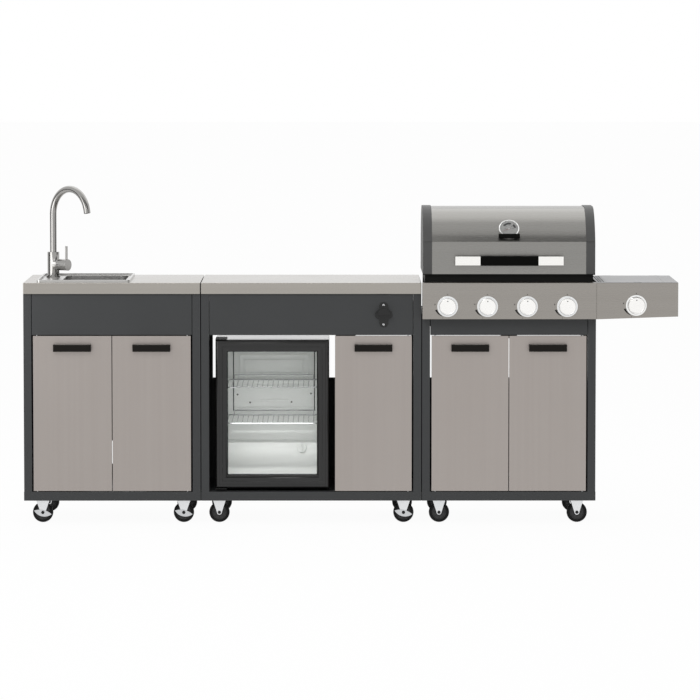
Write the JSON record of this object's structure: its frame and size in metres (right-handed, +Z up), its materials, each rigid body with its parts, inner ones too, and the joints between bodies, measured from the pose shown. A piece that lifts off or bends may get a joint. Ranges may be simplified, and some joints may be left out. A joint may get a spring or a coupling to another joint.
{
  "type": "outdoor kitchen",
  "caption": "Outdoor kitchen of three carts on casters: sink with swivel tap, glass-door fridge, and gas grill with hinged lid, burner knobs and side-burner shelf.",
  "frame": {"origin": "on the ground under the middle of the overall box", "axes": "+X to the right along the row of carts, +Y to the back, +Z up"},
  "size_m": [2.392, 0.576, 1.233],
  "materials": {
    "frame_paint": "anthracite powder coat",
    "worktop_steel": "brushed stainless sheet",
    "door_steel": "vertically brushed stainless sheet",
    "panel_steel": "brushed stainless sheet",
    "lid_steel": "brushed stainless sheet",
    "cap_paint": "painted casting",
    "handle_steel": "satin steel with a black grip",
    "gauge_steel": "polished case",
    "knob_silver": "satin silver",
    "tap_steel": "satin steel",
    "opener_iron": "black casting",
    "fridge_plastic": "light liner in a black case",
    "fridge_black": "black moulding",
    "fridge_glass": "clear double pane",
    "shelf_wire": "plated wire",
    "firebox_paint": "black heat-proof paint",
    "burner_steel": "plain stainless",
    "grate_iron": "enamelled casting",
    "manifold_steel": "plated steel",
    "tray_steel": "galvanised sheet",
    "caster_zinc": "zinc plate",
    "tyre_rubber": "black tyre on a dark grey hub"
  },
  "bodies": {
    "kitchen": {"sink_frame": "frame_paint", "fridge_frame": "frame_paint", "grill_frame": "frame_paint", "cabinet_panels": "frame_paint", "sink_worktop": "worktop_steel", "fridge_worktop": "worktop_steel", "sink_bowl": "worktop_steel", "tap_body": "tap_steel", "bottle_opener": "opener_iron", "fridge_housing": "fridge_plastic", "fridge_shelves": "shelf_wire", "firebox": "firebox_paint", "burners": "burner_steel", "cooking_grates": "grate_iron", "gas_manifold": "manifold_steel", "control_panel": "panel_steel", "side_shelf": "panel_steel", "rigid_caster_forks": "caster_zinc", "hinge_pins": "caster_zinc"},
    "sink_left_door": {"sink_left_door": "door_steel"},
    "sink_right_door": {"sink_right_door": "door_steel"},
    "fridge_cupboard_door": {"fridge_cupboard_door": "door_steel"},
    "grill_left_door": {"grill_left_door": "door_steel"},
    "grill_right_door": {"grill_right_door": "door_steel"},
    "fridge_door": {"fridge_door_frame": "fridge_black", "fridge_door_glass": "fridge_glass"},
    "lid": {"lid_shell": "lid_steel", "lid_end_caps": "cap_paint", "lid_handle": "handle_steel", "lid_thermometer": "gauge_steel"},
    "side_burner_cover": {"side_burner_cover": "panel_steel"},
    "burner_knob_1": {"burner_knob_1": "knob_silver"},
    "burner_knob_2": {"burner_knob_2": "knob_silver"},
    "burner_knob_3": {"burner_knob_3": "knob_silver"},
    "burner_knob_4": {"burner_knob_4": "knob_silver"},
    "side_burner_knob": {"side_burner_knob": "knob_silver"},
    "tap_spout": {"tap_spout": "tap_steel"},
    "tap_lever": {"tap_lever": "tap_steel"},
    "grease_tray": {"grease_tray": "tray_steel"},
    "sink_front_left_wheel": {"sink_front_left_wheel": "tyre_rubber"},
    "sink_front_left_fork": {"sink_front_left_fork": "caster_zinc"},
    "sink_front_left_brake": {"sink_front_left_brake": "caster_zinc"},
    "sink_front_right_wheel": {"sink_front_right_wheel": "tyre_rubber"},
    "sink_front_right_fork": {"sink_front_right_fork": "caster_zinc"},
    "sink_front_right_brake": {"sink_front_right_brake": "caster_zinc"},
    "sink_rear_left_wheel": {"sink_rear_left_wheel": "tyre_rubber"},
    "sink_rear_right_wheel": {"sink_rear_right_wheel": "tyre_rubber"},
    "fridge_front_left_wheel": {"fridge_front_left_wheel": "tyre_rubber"},
    "fridge_front_right_wheel": {"fridge_front_right_wheel": "tyre_rubber"},
    "fridge_front_right_fork": {"fridge_front_right_fork": "caster_zinc"},
    "fridge_front_right_brake": {"fridge_front_right_brake": "caster_zinc"},
    "fridge_rear_left_wheel": {"fridge_rear_left_wheel": "tyre_rubber"},
    "fridge_rear_right_wheel": {"fridge_rear_right_wheel": "tyre_rubber"},
    "fridge_rear_right_fork": {"fridge_rear_right_fork": "caster_zinc"},
    "grill_front_left_wheel": {"grill_front_left_wheel": "tyre_rubber"},
    "grill_front_right_wheel": {"grill_front_right_wheel": "tyre_rubber"},
    "grill_rear_left_wheel": {"grill_rear_left_wheel": "tyre_rubber"},
    "grill_rear_left_fork": {"grill_rear_left_fork": "caster_zinc"},
    "grill_rear_right_wheel": {"grill_rear_right_wheel": "tyre_rubber"},
    "grill_rear_right_fork": {"grill_rear_right_fork": "caster_zinc"}
  },
  "joints": [
    {"name": "sink_left_door_hinge", "type": "hinge", "parent": "kitchen", "child": "sink_left_door", "pos_m": [-1.148, -0.202, 0.123], "axis": [0, 0, -1], "range_deg": [0, 90]},
    {"name": "sink_right_door_hinge", "type": "hinge", "parent": "kitchen", "child": "sink_right_door", "pos_m": [-0.597, -0.202, 0.123], "axis": [0, 0, 1], "range_deg": [0, 90]},
    {"name": "fridge_cupboard_door_hinge", "type": "hinge", "parent": "kitchen", "child": "fridge_cupboard_door", "pos_m": [0.212, -0.202, 0.123], "axis": [0, 0, 1], "range_deg": [0, 90]},
    {"name": "grill_left_door_hinge", "type": "hinge", "parent": "kitchen", "child": "grill_left_door", "pos_m": [0.311, -0.202, 0.123], "axis": [0, 0, -1], "range_deg": [0, 90]},
    {"name": "grill_right_door_hinge", "type": "hinge", "parent": "kitchen", "child": "grill_right_door", "pos_m": [0.851, -0.202, 0.123], "axis": [0, 0, 1], "range_deg": [0, 90]},
    {"name": "fridge_door_hinge", "type": "hinge", "parent": "kitchen", "child": "fridge_door", "pos_m": [-0.4797, -0.19, 0.1315], "axis": [0, 0, -1], "range_deg": [0, 95]},
    {"name": "lid_hinge", "type": "hinge", "parent": "kitchen", "child": "lid", "pos_m": [0.581, 0.276, 0.93], "axis": [-1, 0, 0], "range_deg": [0, 90]},
    {"name": "side_burner_cover_hinge", "type": "hinge", "parent": "kitchen", "child": "side_burner_cover", "pos_m": [1.0475, 0.1783, 0.8865], "axis": [-1, 0, 0], "range_deg": [0, 95]},
    {"name": "burner_knob_1_turn", "type": "hinge", "parent": "kitchen", "child": "burner_knob_1", "pos_m": [0.355, -0.264, 0.804], "axis": [0, -1, 0], "range_deg": [0, 180]},
    {"name": "burner_knob_2_turn", "type": "hinge", "parent": "kitchen", "child": "burner_knob_2", "pos_m": [0.5005, -0.264, 0.804], "axis": [0, -1, 0], "range_deg": [0, 180]},
    {"name": "burner_knob_3_turn", "type": "hinge", "parent": "kitchen", "child": "burner_knob_3", "pos_m": [0.646, -0.264, 0.804], "axis": [0, -1, 0], "range_deg": [0, 180]},
    {"name": "burner_knob_4_turn", "type": "hinge", "parent": "kitchen", "child": "burner_knob_4", "pos_m": [0.7915, -0.264, 0.804], "axis": [0, -1, 0], "range_deg": [0, 180]},
    {"name": "side_burner_knob_turn", "type": "hinge", "parent": "kitchen", "child": "side_burner_knob", "pos_m": [1.043, -0.264, 0.808], "axis": [0, -1, 0], "range_deg": [0, 180]},
    {"name": "tap_spout_swivel", "type": "hinge", "parent": "kitchen", "child": "tap_spout", "pos_m": [-1.1055, 0.108, 0.984], "axis": [0, 0, 1], "continuous": true},
    {"name": "tap_lever_turn", "type": "hinge", "parent": "kitchen", "child": "tap_lever", "pos_m": [-1.08034, 0.09166, 0.937], "axis": [0.8387, -0.5446, 0], "range_deg": [-45, 45]},
    {"name": "grease_tray_slide", "type": "slide", "parent": "kitchen", "child": "grease_tray", "axis": [0, 1, 0], "range_m": [0, 0.35]},
    {"name": "sink_front_left_swivel", "type": "hinge", "parent": "kitchen", "child": "sink_front_left_fork", "pos_m": [-1.132, -0.137, 0.087], "axis": [0, 0, 1], "continuous": true},
    {"name": "sink_front_left_brake_lever", "type": "hinge", "parent": "sink_front_left_fork", "child": "sink_front_left_brake", "pos_m": [-1.132, -0.161, 0.0375], "axis": [0, -1, 0], "range_deg": [0, 20]},
    {"name": "sink_front_left_roll", "type": "hinge", "parent": "sink_front_left_fork", "child": "sink_front_left_wheel", "pos_m": [-1.132, -0.137, 0.0375], "axis": [0, 1, 0], "continuous": true},
    {"name": "sink_front_right_swivel", "type": "hinge", "parent": "kitchen", "child": "sink_front_right_fork", "pos_m": [-0.613, -0.137, 0.087], "axis": [0, 0, 1], "continuous": true},
    {"name": "sink_front_right_brake_lever", "type": "hinge", "parent": "sink_front_right_fork", "child": "sink_front_right_brake", "pos_m": [-0.613, -0.161, 0.0375], "axis": [0, -1, 0], "range_deg": [0, 20]},
    {"name": "sink_front_right_roll", "type": "hinge", "parent": "sink_front_right_fork", "child": "sink_front_right_wheel", "pos_m": [-0.613, -0.137, 0.0375], "axis": [0, 1, 0], "continuous": true},
    {"name": "sink_rear_left_roll", "type": "hinge", "parent": "kitchen", "child": "sink_rear_left_wheel", "pos_m": [-1.132, 0.213, 0.0375], "axis": [0, 1, 0], "continuous": true},
    {"name": "sink_rear_right_roll", "type": "hinge", "parent": "kitchen", "child": "sink_rear_right_wheel", "pos_m": [-0.613, 0.213, 0.0375], "axis": [0, 1, 0], "continuous": true},
    {"name": "fridge_front_left_roll", "type": "hinge", "parent": "kitchen", "child": "fridge_front_left_wheel", "pos_m": [-0.482, -0.137, 0.0375], "axis": [0, 1, 0], "continuous": true},
    {"name": "fridge_front_right_swivel", "type": "hinge", "parent": "kitchen", "child": "fridge_front_right_fork", "pos_m": [0.196, -0.137, 0.087], "axis": [0, 0, 1], "continuous": true},
    {"name": "fridge_front_right_brake_lever", "type": "hinge", "parent": "fridge_front_right_fork", "child": "fridge_front_right_brake", "pos_m": [0.196, -0.161, 0.0375], "axis": [0, -1, 0], "range_deg": [0, 20]},
    {"name": "fridge_front_right_roll", "type": "hinge", "parent": "fridge_front_right_fork", "child": "fridge_front_right_wheel", "pos_m": [0.196, -0.137, 0.0375], "axis": [0, 1, 0], "continuous": true},
    {"name": "fridge_rear_left_roll", "type": "hinge", "parent": "kitchen", "child": "fridge_rear_left_wheel", "pos_m": [-0.482, 0.213, 0.0375], "axis": [0, 1, 0], "continuous": true},
    {"name": "fridge_rear_right_swivel", "type": "hinge", "parent": "kitchen", "child": "fridge_rear_right_fork", "pos_m": [0.196, 0.213, 0.087], "axis": [0, 0, 1], "continuous": true},
    {"name": "fridge_rear_right_roll", "type": "hinge", "parent": "fridge_rear_right_fork", "child": "fridge_rear_right_wheel", "pos_m": [0.196, 0.213, 0.0375], "axis": [0, 1, 0], "continuous": true},
    {"name": "grill_front_left_roll", "type": "hinge", "parent": "kitchen", "child": "grill_front_left_wheel", "pos_m": [0.327, -0.137, 0.0375], "axis": [0, 1, 0], "continuous": true},
    {"name": "grill_front_right_roll", "type": "hinge", "parent": "kitchen", "child": "grill_front_right_wheel", "pos_m": [0.835, -0.137, 0.0375], "axis": [0, 1, 0], "continuous": true},
    {"name": "grill_rear_left_swivel", "type": "hinge", "parent": "kitchen", "child": "grill_rear_left_fork", "pos_m": [0.327, 0.213, 0.087], "axis": [0, 0, 1], "continuous": true},
    {"name": "grill_rear_left_roll", "type": "hinge", "parent": "grill_rear_left_fork", "child": "grill_rear_left_wheel", "pos_m": [0.327, 0.213, 0.0375], "axis": [0, 1, 0], "continuous": true},
    {"name": "grill_rear_right_swivel", "type": "hinge", "parent": "kitchen", "child": "grill_rear_right_fork", "pos_m": [0.835, 0.213, 0.087], "axis": [0, 0, 1], "continuous": true},
    {"name": "grill_rear_right_roll", "type": "hinge", "parent": "grill_rear_right_fork", "child": "grill_rear_right_wheel", "pos_m": [0.835, 0.213, 0.0375], "axis": [0, 1, 0], "continuous": true}
  ]
}
